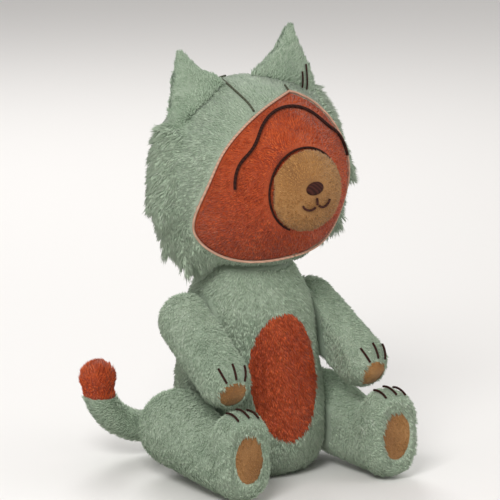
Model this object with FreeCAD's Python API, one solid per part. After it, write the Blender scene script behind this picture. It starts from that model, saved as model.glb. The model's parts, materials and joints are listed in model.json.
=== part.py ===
"""A seated plush cat with a turning head, swinging limbs and tail, and folding ears.

Millimetres, +Z up.  The cat sits on the plane z = 0 and faces -Y, so +X is its left side.
The origin is the centre of its flat seat.  Head parts are drawn about the centre of the head
and then tilted and lifted into place.
"""
import FreeCAD
import Part
import math
import os

V = FreeCAD.Vector
X_AXIS = V(1, 0, 0)
Y_AXIS = V(0, 1, 0)
Z_AXIS = V(0, 0, 1)
HUGE = 400.0

# Cloth and thread
FABRIC = 2.0              # pile fabric with its backing
SOFT_GAP = 0.2            # between two layers of cloth, or cloth and filling
SEAM_GAP = 0.1            # each side of a seam between two panels
BROW_CORD = 1.1           # radius of the heavy embroidered line
FINE_THREAD = 0.75        # radius of a sewing stitch
TOE_THREAD = 0.8
PIPING = 0.85
THREAD_CLEAR = 0.15       # between a line of thread and the cloth
THREAD_PITCH = 6.0        # a thread is laid onto the cloth at least this often

# Head, about its own centre
HEAD_R = 68.0
HEAD_ROLL = -7.0          # degrees about Y: the top leans to the cat's right
HEAD_PITCH = -4.0         # degrees about X: the chin lifts a little
NECK_DROP = 58.0          # centre of the head above its flat neck
FACE_X = 5.0              # the brow and muzzle sit this far towards the cat's left

# Body
BODY_TOP = 147.6
NECK_Z = 148.0
HEAD_CENTRE = V(0, 0, NECK_Z + NECK_DROP)
SIDE_X = 40.0             # flat sides where the limbs sit
BACK_Y = 48.0             # flat back where the tail sits
BODY_PROFILE = [(38, 0), (49, 9), (54, 36), (51, 70), (46.5, 100), (42, 122), (34, 138), (30, BODY_TOP)]
BASE_PANEL_R = 36.0
BELLY_HALF_W = 27.0
BELLY_HALF_H = 44.0
BELLY_Z = 72.0
JOINT_GAP = 0.4           # between the cloth of a limb and the cloth of the body
BAG_R = 30.0              # bag of pellets that steadies the seat
BAG_TOP = 24.0
BAG_CLOTH = 1.0
BAG_ROUND = 6.0
STITCH_LOW_Z = 61.0       # closing stitches up the back
STITCH_COUNT = 7
STITCH_PITCH = 4.0
STITCH_HALF_W = 3.2
STITCH_LEAN = 1.2
LABEL_SIZE = V(0.6, 15, 18)
LABEL_PLACE = V(54.4, 0, 27)   # inner face and lower edge, before it turns round the body
LABEL_TURN = 45.0

# Disc joints
DISC_THICK = 2.5
STEM_R = 4.0
STEM_HOLE_R = 4.1
RING_R = 8.0
RING_THICK = 3.5
RING_BORE_R = 4.02
STEM_END = 1.5            # stem showing past its lock ring
PLAY = 0.1                # between stacked joint parts
POCKET = 0.5              # room around a joint part inside the filling
NECK_DISC_R = 22.0
SHOULDER_DISC_R = 13.0
HIP_DISC_R = 16.0
TAIL_DISC_R = 11.0

# Limbs, drawn for the cat's left side
SHOULDER = V(50, 0, 108)
SHOULDER_R = 20.0
PAW = V(56, -56, 78)
PAW_R = 18.0
PAW_PAD_R = 10.0
HIP = V(58, 0, 34)
HIP_R = 27.0
ANKLE = V(60, -68, 22)
ANKLE_R = 20.0
FOOT = V(60, -82, 32)
FOOT_R = 20.0
FOOT_HALF_H = 31.0
SOLE_Y = -94.0
SOLE_PAD_HALF_W = 11.0
SOLE_PAD_HALF_H = 17.0
ARM_TOE_TURNS = (-32, 0, 32)         # degrees round the paw
ARM_TOE_ARC = range(42, 80, 9)       # degrees back from the tip of the paw
LEG_TOE_ACROSS = (-8, 0, 8)          # mm across the toes
LEG_TOE_ARC = range(58, 106, 9)      # degrees up from the front of the toes

# Tail, in a plane behind the back
TAIL_Y = 63.0
TAIL_ROOT = V(0, 59, 34)
TAIL_ROOT_R = 18.0
TAIL_R = 11.0
TAIL_TIP_R = 13.0
TAIL_PATH = [(0, 34), (-26, 22), (-54, 22), (-78, 38), (-84, 60)]
TAIL_TIP_Z = 46.0         # where the coloured tip starts, on the far side of TAIL_TIP_X
TAIL_TIP_X = -50.0

# Ears, drawn for the cat's left side about the head centre
EAR_OUTLINE = [(9, 50), (13.5, 66), (27, 79), (44, 97), (47.5, 96), (55, 72), (58, 57), (54, 34)]
EAR_MIDDLE_Y = -4.0
EAR_TIP_LEAN = 3.0        # the tip stands this far in front of the root
EAR_ROOT_HALF = 5.5       # half thickness low down
EAR_TIP_HALF = 2.2        # half thickness at the tip
EAR_LOW_Z = 34.0
EAR_HIGH_Z = 98.0
EAR_CLOTH = 1.4
EAR_HINGE = V(36, -4, 60)
EAR_HINGE_SLOPE = -32.0   # degrees: the hinge follows the slope of the head
EAR_FOLD = 25.0
EAR_CLEAR = 1.0

# Cheek ruffs, drawn for the cat's left side about the head centre
RUFF_SECTION = [(58, -17), (71, -13), (78, -4), (80, 1), (78, 6), (71, 13), (58, 17)]
RUFF_TOP = 35.0           # degrees above the side of the head
RUFF_LOW = -50.0
TUFT_ANGLES = [(-6, 2), (-17, -8), (-30, 3), (-43, -6)]   # tip angle and how far back it sits
TUFT_TIP_R = 87.0
TUFT_ROOT_R = 70.0
TUFT_SWEEP = 15.0         # degrees the root lies above the tip
TUFT_BASE = 8.5
TUFT_POINT = 0.6
RUFF_CLEAR = 0.3          # between a ruff and the head

# Face, as (x, z) seen from the front of the head; each side runs from the peak to the chin
FACE_PEAK = (20, 55.5)
FACE_CHIN = (0, -53)
PIPING_SPLIT = 0.6        # each end of the piping stops this far from the middle of the chin
FACE_RIGHT = [(6, 54), (-10, 50), (-28, 41.5), (-45, 27), (-55, 10),
              (-61.5, -10), (-60, -26), (-46, -44), (-24, -52)]
FACE_LEFT = [(29, 50), (39, 42), (49, 26), (55, 9), (58, -10), (56, -27), (43, -44), (22, -52)]
BROW_TOP = (0, 48.6)      # brow points are measured from the middle of the face
BROW_SIDE = [(-7.5, 47.8), (-21, 41), (-33, 28.5), (-38, 24.5), (-43, 20), (-47, 13), (-49, 4)]
MUZZLE = V(FACE_X - 2, -64, -6)
MUZZLE_R = 27.0
MUZZLE_DEPTH = 13.0
MUZZLE_CLOTH = 1.5
MUZZLE_EDGE_R = 28.4      # the stitched line around the muzzle
MUZZLE_EDGE_ARC = range(-60, 245, 20)
NOSE = MUZZLE + V(0, -12.4, 2)
NOSE_HALF = (7, 2.4, 4.6)
MOUTH_LINE = [(0, -4.6), (0, -7), (0, -9.4)]           # measured from the middle of the muzzle
SMILE_SIDE = [(1.7, -10.4), (5, -12), (8.6, -10.8), (11, -7.8)]

# Sewn seams of the head, as directions from its centre
RIGHT_EAR_SEAM = [V(-9, 2, 67), V(-13, -12, 65.5), V(-15, -25, 61.5), V(-15, -36, 55.5), V(-15.5, -43, 50.4)]
PEAK_SEAM = [V(20.5, -32, 56.4), V(21.3, -29.3, 57.7), V(22.1, -26.5, 59)]
BACK_SEAM_ARC = range(80, -40, -20)  # degrees above the back of the head


def save(node, shape):
    """Write one node; every solid in it stays separate."""
    solids = shape.Solids
    group = solids[0] if len(solids) == 1 else Part.Compound(solids)
    group.exportStep(os.path.join("parts", node + ".step"))
    box = group.BoundBox
    ends = [box.XMin, box.XMax, box.YMin, box.YMax, box.ZMin, box.ZMax]
    places = " ".join("%.1f" % end for end in ends)
    print("%-28s solids %2d valid %s  %s" % (node, len(solids), group.isValid(), places))


def mirrored(shape):
    return shape.mirror(V(0, 0, 0), X_AXIS)


def spun(shape, axis, degrees, about=V(0, 0, 0)):
    turned = shape.copy()
    turned.rotate(about, axis, degrees)
    return turned


def moved(shape, offset):
    shifted = shape.copy()
    shifted.translate(offset)
    return shifted


def aimed(shape, start, direction):
    """Take a shape drawn up the Z axis to a start point and direction."""
    placed = shape.copy()
    place = FreeCAD.Placement(start, FreeCAD.Rotation(Z_AXIS, direction))
    placed.Placement = place.multiply(placed.Placement)
    return placed


def on_head(shape):
    """Tilt a shape drawn about the head centre and lift it into place."""
    tilt = FreeCAD.Rotation(X_AXIS, HEAD_PITCH).multiply(FreeCAD.Rotation(Y_AXIS, HEAD_ROLL))
    placed = shape.copy()
    placed.Placement = FreeCAD.Placement(HEAD_CENTRE, tilt).multiply(placed.Placement)
    return placed


def fused(shapes):
    whole = shapes[0]
    for shape in shapes[1:]:
        whole = whole.fuse(shape)
    return whole.removeSplitter()


def beyond(axis, distance, side=1):
    """The half space past a distance along one axis, as a very large box."""
    way = {"x": X_AXIS, "y": Y_AXIS, "z": Z_AXIS}[axis]
    middle = way * (distance + side * HUGE)
    return Part.makeBox(2 * HUGE, 2 * HUGE, 2 * HUGE, middle - V(HUGE, HUGE, HUGE))


def spin(face, axis):
    """A solid of revolution, right side out whichever way the face was drawn."""
    solid = face.revolve(V(0, 0, 0), axis, 360)
    return solid if solid.Volume > 0 else face.revolve(V(0, 0, 0), axis * -1, 360)


def shallow_ellipsoid(half_depth, half_r):
    """An ellipsoid that is round about the Y axis and shallower along it."""
    ellipse = Part.Ellipse(V(half_r, 0, 0), V(0, half_depth, 0), V(0, 0, 0))
    arc = Part.Arc(ellipse, -math.pi / 2, math.pi / 2).toShape()
    diameter = Part.makeLine(arc.Vertexes[-1].Point, arc.Vertexes[0].Point)
    return Part.Face(Part.Wire([arc, diameter])).revolve(V(0, 0, 0), Y_AXIS, 360)


def ellipsoid(centre, halves):
    stretch = FreeCAD.Matrix()
    stretch.scale(halves[0], halves[1], halves[2])
    return moved(Part.makeSphere(1.0).transformGeometry(stretch), centre)


def tapered_capsule(start, end, start_r, end_r):
    """A round-ended limb between two points."""
    length = (end - start).Length
    lean = math.asin((start_r - end_r) / length)
    pole = math.pi / 2

    def at(radius, height, angle):
        return V(radius * math.cos(angle), 0, height + radius * math.sin(angle))

    def cap(radius, height, low, high):
        ends = [at(radius, height, angle) for angle in (low, (low + high) / 2, high)]
        return Part.Arc(*ends).toShape()

    first = cap(start_r, 0, -pole, lean)
    side = Part.makeLine(at(start_r, 0, lean), at(end_r, length, lean))
    last = cap(end_r, length, lean, pole)
    closing = Part.makeLine(at(end_r, length, pole), at(start_r, 0, -pole))
    face = Part.Face(Part.Wire([first, side, last, closing]))
    return aimed(spin(face, Z_AXIS), start, end - start)


def smooth_edge(points, closed=False):
    curve = Part.BSplineCurve()
    curve.interpolate(points, PeriodicFlag=closed)
    return curve.toShape()


def rope(points, radius):
    """A round tube along a smooth curve."""
    spine = Part.Wire(smooth_edge(points))
    along = spine.Edges[0].tangentAt(spine.Edges[0].FirstParameter)
    ring = Part.Wire(Part.makeCircle(radius, points[0], along))
    return spine.makePipeShell([ring], True, False)


def oval_block(centre, half_w, half_h, depth):
    """A block along Y with an upright elliptical outline."""
    oval = Part.Ellipse(centre + V(0, 0, half_h), centre + V(half_w, 0, 0), centre)
    return Part.Face(Part.Wire(oval.toShape())).extrude(V(0, depth, 0))


# ---- Disc joints: a disc and stem inside the moving piece, a washer and lock ring inside the body

def joint_parts(seat, out, disc_r):
    """Disc with stem, washer and lock ring about a seat point, with the moving piece towards 'out'."""
    cloth = JOINT_GAP / 2 + FABRIC + PLAY
    ring_far = cloth + DISC_THICK + PLAY + RING_THICK
    disc = Part.makeCylinder(disc_r, DISC_THICK, V(0, 0, cloth))
    stem = Part.makeCylinder(STEM_R, ring_far + STEM_END + cloth, V(0, 0, -ring_far - STEM_END))
    washer = Part.makeCylinder(disc_r, DISC_THICK, V(0, 0, -cloth - DISC_THICK))
    washer = washer.cut(Part.makeCylinder(STEM_HOLE_R, HUGE, V(0, 0, -HUGE / 2)))
    ring = Part.makeCylinder(RING_R, RING_THICK, V(0, 0, -ring_far))
    ring = ring.cut(Part.makeCylinder(RING_BORE_R, HUGE, V(0, 0, -HUGE / 2)))
    return [aimed(part, seat, out) for part in (fused([disc, stem]), washer, ring)]


def joint_hole(seat, out):
    reach = JOINT_GAP + FABRIC * 2
    return aimed(Part.makeCylinder(STEM_HOLE_R, 2 * reach, V(0, 0, -reach)), seat, out)


def pocket_outward(seat, out, disc_r):
    """Room for the disc in the filling of the moving piece."""
    depth = JOINT_GAP / 2 + FABRIC + PLAY + DISC_THICK + POCKET
    return aimed(Part.makeCylinder(disc_r + POCKET, depth), seat, out)


def pocket_inward(seat, out, disc_r):
    """Room for the washer, lock ring and stem in the filling of the body."""
    washer_depth = JOINT_GAP / 2 + FABRIC + PLAY + DISC_THICK + POCKET
    ring_depth = washer_depth + PLAY + RING_THICK
    wide = Part.makeCylinder(disc_r + POCKET, washer_depth, V(0, 0, -washer_depth))
    middle = Part.makeCylinder(RING_R + POCKET, ring_depth, V(0, 0, -ring_depth))
    narrow = Part.makeCylinder(STEM_R + POCKET, ring_depth + STEM_END, V(0, 0, -ring_depth - STEM_END))
    return aimed(fused([wide, middle, narrow]), seat, out)


NECK_SEAT = V(0, 0, NECK_Z - JOINT_GAP / 2)
SHOULDER_SEAT = V(SIDE_X + JOINT_GAP / 2, 0, SHOULDER.z)
HIP_SEAT = V(SIDE_X + JOINT_GAP / 2, 0, HIP.z)
TAIL_SEAT = V(0, BACK_Y + JOINT_GAP / 2, TAIL_ROOT.z)


# ---- Body

def body_solid(shrink):
    """The body outline drawn in by a distance on every side."""
    top = BODY_TOP - shrink
    curve = smooth_edge([V(r - shrink, 0, z) for r, z in BODY_PROFILE])
    first, last = BODY_PROFILE[0], BODY_PROFILE[-1]
    foot_line = Part.makeLine(V(0, 0, first[1]), V(first[0] - shrink, 0, first[1]))
    top_line = Part.makeLine(V(last[0] - shrink, 0, last[1]), V(0, 0, last[1]))
    axis_line = Part.makeLine(V(0, 0, last[1]), V(0, 0, first[1]))
    solid = spin(Part.Face(Part.Wire([foot_line, curve, top_line, axis_line])), Z_AXIS)
    for side in (1, -1):
        solid = solid.cut(beyond("x", side * (SIDE_X - shrink), side))
    solid = solid.cut(beyond("y", BACK_Y - shrink))
    if shrink:
        solid = solid.cut(beyond("z", top)).cut(beyond("z", shrink, -1))
    return solid


def belly_block(shrink):
    front = V(0, -HUGE / 4, BELLY_Z)
    return oval_block(front, BELLY_HALF_W - shrink, BELLY_HALF_H - shrink, HUGE / 4)


def cushion(radius, low, high):
    """A round cushion with soft edges."""
    block = Part.makeCylinder(radius, high - low, V(0, 0, low))
    rims = [edge for edge in block.Edges if edge.Curve.TypeId == "Part::GeomCircle"]
    return block.makeFillet(BAG_ROUND, rims)


def make_body():
    shell = body_solid(0).cut(body_solid(FABRIC))
    seats = [(NECK_SEAT, Z_AXIS, NECK_DISC_R), (TAIL_SEAT, Y_AXIS, TAIL_DISC_R)]
    for side in (1, -1):
        seats.append((V(side * SHOULDER_SEAT.x, 0, SHOULDER.z), X_AXIS * side, SHOULDER_DISC_R))
        seats.append((V(side * HIP_SEAT.x, 0, HIP.z), X_AXIS * side, HIP_DISC_R))
    for seat, out, disc_r in seats:
        shell = shell.cut(joint_hole(seat, out))
    base_r = BASE_PANEL_R
    cover = shell.cut(Part.makeCylinder(base_r, FABRIC * 2, V(0, 0, -FABRIC)))
    cover = cover.cut(belly_block(-SEAM_GAP))
    save("body_cover", cover)
    save("belly_panel", shell.common(belly_block(SEAM_GAP)))
    save("base_panel", Part.makeCylinder(base_r - SOFT_GAP, FABRIC))

    bag_low = FABRIC + SOFT_GAP * 2
    save("pellet_bag", cushion(BAG_R, bag_low, BAG_TOP).cut(
        cushion(BAG_R - BAG_CLOTH, bag_low + BAG_CLOTH, BAG_TOP - BAG_CLOTH)))
    inset = BAG_CLOTH + SOFT_GAP
    save("pellet_fill", cushion(BAG_R - inset, bag_low + inset, BAG_TOP - inset))

    filling = body_solid(FABRIC + SOFT_GAP)
    filling = filling.cut(Part.makeCylinder(BAG_R + POCKET, BAG_TOP + POCKET))
    for seat, out, disc_r in seats:
        filling = filling.cut(pocket_inward(seat, out, disc_r))
    save("body_stuffing", filling)

    stitches = []
    thread_y = BACK_Y + FINE_THREAD + SOFT_GAP
    for step in range(STITCH_COUNT):
        height = STITCH_LOW_Z + STITCH_PITCH * step
        lean = STITCH_LEAN if step % 2 else -STITCH_LEAN
        start = V(-STITCH_HALF_W, thread_y, height - lean)
        end = V(STITCH_HALF_W, thread_y, height + lean)
        stitches.append(aimed(Part.makeCylinder(FINE_THREAD, (end - start).Length), start, end - start))
    save("back_closing_stitches", Part.Compound(stitches))

    corner = LABEL_PLACE - V(0, LABEL_SIZE.y / 2, 0)
    label = Part.makeBox(LABEL_SIZE.x, LABEL_SIZE.y, LABEL_SIZE.z, corner)
    save("sewn_label", spun(label, Z_AXIS, LABEL_TURN))


def make_joint(name, seat, out, disc_r, both_sides=False):
    """Save a joint's disc, lock ring and washer, on both sides of the body if it has two."""
    disc, washer, ring = joint_parts(seat, out, disc_r)
    if both_sides:
        save(name + "_left_disc", disc)
        save(name + "_right_disc", mirrored(disc))
        save(name + "_left_lock_ring", ring)
        save(name + "_right_lock_ring", mirrored(ring))
        save(name + "_washers", Part.Compound([washer, mirrored(washer)]))
    else:
        save(name + "_disc", disc)
        save(name + "_lock_ring", ring)
        save(name + "_washer", washer)


# ---- Head

def skull(grow):
    return Part.makeSphere(HEAD_R + grow)


def head_solid(shrink):
    """The head outline drawn in by a distance, flat at the neck, in its final place."""
    return on_head(skull(-shrink)).cut(beyond("z", NECK_Z + shrink, -1))


def face_way(x, z):
    """The place on the front of the head at an (x, z) seen from the front."""
    return V(x, -math.sqrt(HEAD_R ** 2 - x ** 2 - z ** 2), z)


def head_point(direction, lift):
    """The point on the head, lifted off the cloth, in a direction from its centre."""
    return direction * ((HEAD_R + lift) / direction.Length)


def face_block(shrink):
    """The face outline as a block through the front of the head, drawn in towards its middle."""
    middle = V(FACE_X, -HUGE / 4, 0)
    sides = []
    for side in (FACE_RIGHT, FACE_LEFT):
        corners = [V(x, middle.y, z) for x, z in [FACE_PEAK] + side + [FACE_CHIN]]
        sides.append(smooth_edge([p + (middle - p).normalize() * shrink for p in corners]))
    face = Part.Face(Part.Wire(sides))
    return on_head(face.extrude(V(0, -middle.y - 4, 0)))


def thread_on_head(directions, radius):
    """A thread that follows the head closely on a smooth way through a few directions."""
    lift = radius + THREAD_CLEAR
    guide = smooth_edge([head_point(way, lift) for way in directions])
    count = 4 + int(guide.Length / THREAD_PITCH)
    return on_head(rope([head_point(spot, lift) for spot in guide.discretize(count)], radius))


def thread_on_face(points, radius):
    return thread_on_head([face_way(x, z) for x, z in points], radius)


def muzzle_solid(shrink):
    """The muzzle pad about its own axis, drawn in by a distance."""
    pad = shallow_ellipsoid(MUZZLE_DEPTH - shrink, MUZZLE_R - shrink)
    return moved(pad, MUZZLE).cut(beyond("y", MUZZLE.y + MUZZLE_DEPTH / 2))


def make_head():
    shell = head_solid(0).cut(head_solid(FABRIC)).cut(joint_hole(NECK_SEAT, Z_AXIS))
    save("head_cover", shell.cut(face_block(-SEAM_GAP)))
    save("face_panel", shell.common(face_block(SEAM_GAP)))
    filling = head_solid(FABRIC + SOFT_GAP).cut(pocket_outward(NECK_SEAT, Z_AXIS, NECK_DISC_R))
    save("head_stuffing", filling)

    brow = [(FACE_X + x, z) for x, z in reversed(BROW_SIDE)]
    brow += [(FACE_X + BROW_TOP[0], BROW_TOP[1])]
    brow += [(FACE_X - x, z) for x, z in BROW_SIDE]
    save("brow_stitch", thread_on_face(brow, BROW_CORD))

    sides = [FACE_RIGHT + [(-PIPING_SPLIT, FACE_CHIN[1])], FACE_LEFT[1:] + [(PIPING_SPLIT, FACE_CHIN[1])]]
    rims = [thread_on_face([FACE_PEAK] + side, PIPING) for side in sides]
    save("face_edge_piping", Part.Compound(rims))

    seams = [thread_on_head(RIGHT_EAR_SEAM, FINE_THREAD), thread_on_head(PEAK_SEAM, FINE_THREAD)]
    back = [V(0, math.cos(math.radians(a)), math.sin(math.radians(a))) for a in BACK_SEAM_ARC]
    seams.append(thread_on_head(back, FINE_THREAD))
    save("head_seam_stitches", Part.Compound(seams))

    back = skull(RUFF_CLEAR)
    save("muzzle_cover", on_head(muzzle_solid(0).cut(back).cut(muzzle_solid(MUZZLE_CLOTH))))
    save("muzzle_stuffing", on_head(muzzle_solid(MUZZLE_CLOTH + SOFT_GAP).cut(back)))
    edge_line = []
    for degrees in MUZZLE_EDGE_ARC:
        around = V(math.cos(math.radians(degrees)), 0, math.sin(math.radians(degrees)))
        spot = MUZZLE + around * MUZZLE_EDGE_R
        edge_line.append((spot.x, spot.z))
    save("muzzle_edge_stitch", thread_on_face(edge_line, FINE_THREAD))
    save("nose_patch", on_head(ellipsoid(NOSE, NOSE_HALF).cut(muzzle_solid(-SEAM_GAP))))

    def muzzle_point(x, z):
        lift = FINE_THREAD + THREAD_CLEAR
        across = ((x - MUZZLE.x) ** 2 + (z - MUZZLE.z) ** 2) / (MUZZLE_R + lift) ** 2
        return V(x, MUZZLE.y - (MUZZLE_DEPTH + lift) * math.sqrt(1 - across), z)

    mouth = [MOUTH_LINE] + [[(side * x, z) for x, z in SMILE_SIDE] for side in (1, -1)]
    lines = []
    for line in mouth:
        points = [muzzle_point(MUZZLE.x + x, MUZZLE.z + z) for x, z in line]
        lines.append(on_head(rope(points, FINE_THREAD)))
    save("mouth_stitches", Part.Compound(lines))


def make_ruffs():
    section = Part.Face(Part.makePolygon([V(r, y, 0) for r, y in RUFF_SECTION + RUFF_SECTION[:1]]))
    band = spun(section, Y_AXIS, -RUFF_TOP).revolve(V(0, 0, 0), Y_AXIS, RUFF_TOP - RUFF_LOW)
    tufts = []
    for degrees, back in TUFT_ANGLES:
        tip_angle = math.radians(degrees)
        root_angle = math.radians(degrees + TUFT_SWEEP)
        tip = V(TUFT_TIP_R * math.cos(tip_angle), back, TUFT_TIP_R * math.sin(tip_angle))
        root = V(TUFT_ROOT_R * math.cos(root_angle), back / 2, TUFT_ROOT_R * math.sin(root_angle))
        tufts.append(aimed(Part.makeCone(TUFT_BASE, TUFT_POINT, (tip - root).Length), root, tip - root))
    ruff = fused([band] + tufts).cut(skull(RUFF_CLEAR))
    save("cheek_ruff_left", on_head(ruff))
    save("cheek_ruff_right", on_head(mirrored(ruff)))


def ear_wedge(inset):
    """The ear between its front and back faces, thin at the tip."""
    low_half = EAR_ROOT_HALF - inset
    high_half = EAR_TIP_HALF - inset * 0.8
    high_y = EAR_MIDDLE_Y - EAR_TIP_LEAN
    corners = [V(0, EAR_MIDDLE_Y - low_half, EAR_LOW_Z), V(0, high_y - high_half, EAR_HIGH_Z),
               V(0, high_y + high_half, EAR_HIGH_Z), V(0, EAR_MIDDLE_Y + low_half, EAR_LOW_Z)]
    return Part.Face(Part.makePolygon(corners + corners[:1])).extrude(V(HUGE / 2, 0, 0))


def ear_solid(inset, lift):
    """One ear clear of the head through its whole fold."""
    wire = Part.makePolygon([V(x, -HUGE / 4, z) for x, z in EAR_OUTLINE + EAR_OUTLINE[:1]])
    if inset:
        wire = wire.makeOffset2D(-inset)
    solid = Part.Face(wire).extrude(V(0, HUGE / 2, 0)).common(ear_wedge(inset))
    hinge_way = V(math.cos(math.radians(EAR_HINGE_SLOPE)), 0, math.sin(math.radians(EAR_HINGE_SLOPE)))
    for degrees in (-EAR_FOLD, 0, EAR_FOLD):
        solid = solid.cut(spun(skull(EAR_CLEAR + lift), hinge_way, degrees, EAR_HINGE))
    return solid


def make_ears():
    outer = ear_solid(0, 0)
    cover = outer.cut(ear_solid(EAR_CLOTH, 0))
    wadding = ear_solid(EAR_CLOTH + SOFT_GAP, SOFT_GAP)
    for side, flip in (("left", False), ("right", True)):
        for part, shape in (("cover", cover), ("wadding", wadding)):
            save("ear_%s_%s" % (side, part), on_head(mirrored(shape) if flip else shape))


# ---- Limbs and tail

def make_arms():
    clear_x = SIDE_X + JOINT_GAP
    along = PAW - SHOULDER
    along.normalize()

    def arm_solid(shrink):
        solid = tapered_capsule(SHOULDER, PAW, SHOULDER_R - shrink, PAW_R - shrink)
        return solid.cut(beyond("x", clear_x + shrink, -1))

    shell = arm_solid(0).cut(arm_solid(FABRIC)).cut(joint_hole(SHOULDER_SEAT, X_AXIS))
    pad_reach = PAW_R * 1.5
    cover = shell.cut(aimed(Part.makeCylinder(PAW_PAD_R + SEAM_GAP, pad_reach), PAW, along))
    pad = shell.common(aimed(Part.makeCylinder(PAW_PAD_R - SEAM_GAP, pad_reach), PAW, along))
    filling = arm_solid(FABRIC + SOFT_GAP).cut(pocket_outward(SHOULDER_SEAT, X_AXIS, SHOULDER_DISC_R))
    toes = []
    up_way = Z_AXIS - along * along.z
    up_way.normalize()
    for turn in ARM_TOE_TURNS:
        side_way = FreeCAD.Rotation(along, turn).multVec(up_way)
        points = []
        for degrees in ARM_TOE_ARC:
            back = math.radians(degrees)
            way = along * math.cos(back) + side_way * math.sin(back)
            points.append(PAW + way * (PAW_R + TOE_THREAD + THREAD_CLEAR))
        toes.append(rope(points, TOE_THREAD))
    parts = {"cover": cover, "paw_pad": pad, "stuffing": filling, "toe_stitches": Part.Compound(toes)}
    for part, shape in parts.items():
        save("arm_left_" + part, shape)
        save("arm_right_" + part, mirrored(shape))


def make_leg(name, side):
    """One leg; side is 1 for the cat's left and -1 for its right."""
    hip, ankle, foot = [V(side * p.x, p.y, p.z) for p in (HIP, ANKLE, FOOT)]
    seat = V(side * HIP_SEAT.x, 0, HIP_SEAT.z)
    out = X_AXIS * side
    rise = Z_AXIS * (FOOT_HALF_H - FOOT_R)

    def leg_solid(shrink):
        thigh = tapered_capsule(hip, ankle, HIP_R - shrink, ANKLE_R - shrink)
        toe_end = tapered_capsule(foot - rise, foot + rise, FOOT_R - shrink, FOOT_R - shrink)
        solid = thigh.fuse(toe_end).cut(beyond("y", SOLE_Y + shrink, -1))
        return solid.cut(beyond("x", side * (SIDE_X + JOINT_GAP + shrink), -side))

    def pad_block(shrink):
        front = V(foot.x, SOLE_Y - FABRIC, foot.z)
        return oval_block(front, SOLE_PAD_HALF_W - shrink, SOLE_PAD_HALF_H - shrink, FABRIC * 2.5)

    shell = leg_solid(0).cut(leg_solid(FABRIC)).cut(joint_hole(seat, out))
    save(name + "_cover", shell.cut(pad_block(-SEAM_GAP)))
    save(name + "_sole_pad", shell.common(pad_block(SEAM_GAP)))
    save(name + "_stuffing", leg_solid(FABRIC + SOFT_GAP).cut(pocket_outward(seat, out, HIP_DISC_R)))
    toes = []
    for across in LEG_TOE_ACROSS:
        bend = math.sqrt((FOOT_R + TOE_THREAD + THREAD_CLEAR) ** 2 - across ** 2)
        points = []
        for degrees in LEG_TOE_ARC:
            up = math.radians(degrees)
            points.append(foot + rise + V(across, -bend * math.cos(up), bend * math.sin(up)))
        toes.append(rope(points, TOE_THREAD))
    save(name + "_toe_stitches", Part.Compound(toes))


def make_tail():
    path = [V(x, TAIL_Y, z) for x, z in TAIL_PATH]
    clear_y = BACK_Y + JOINT_GAP

    def tail_solid(shrink):
        whole = rope(path, TAIL_R - shrink)
        whole = whole.fuse(Part.makeSphere(TAIL_TIP_R - shrink, path[-1]))
        whole = whole.fuse(Part.makeSphere(TAIL_ROOT_R - shrink, TAIL_ROOT))
        return whole.cut(beyond("y", clear_y + shrink, -1))

    shell = tail_solid(0).cut(tail_solid(FABRIC)).cut(joint_hole(TAIL_SEAT, Y_AXIS))
    tail_side = beyond("x", TAIL_TIP_X, -1)
    tip = beyond("z", TAIL_TIP_Z + SEAM_GAP).common(tail_side)
    rest = beyond("z", TAIL_TIP_Z - SEAM_GAP).common(tail_side)
    save("tail_cover", shell.cut(rest))
    save("tail_tip_cover", shell.common(tip))
    save("tail_stuffing", tail_solid(FABRIC + SOFT_GAP).cut(pocket_outward(TAIL_SEAT, Y_AXIS, TAIL_DISC_R)))


os.makedirs("parts", exist_ok=True)
make_body()
make_head()
make_ruffs()
make_ears()
make_arms()
make_leg("leg_left", 1)
make_leg("leg_right", -1)
make_tail()
make_joint("neck", NECK_SEAT, Z_AXIS, NECK_DISC_R)
make_joint("shoulder", SHOULDER_SEAT, X_AXIS, SHOULDER_DISC_R, both_sides=True)
make_joint("hip", HIP_SEAT, X_AXIS, HIP_DISC_R, both_sides=True)
make_joint("tail", TAIL_SEAT, Y_AXIS, TAIL_DISC_R)
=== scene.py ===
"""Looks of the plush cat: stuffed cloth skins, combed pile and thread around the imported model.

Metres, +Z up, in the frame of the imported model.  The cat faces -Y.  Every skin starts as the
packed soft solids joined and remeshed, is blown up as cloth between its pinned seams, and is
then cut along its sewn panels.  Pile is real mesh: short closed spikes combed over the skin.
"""

import json
import math

import bmesh
import bpy
import numpy as np
from mathutils import Euler, Matrix, Vector
from mathutils.bvhtree import BVHTree
from mathutils.kdtree import KDTree

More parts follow.
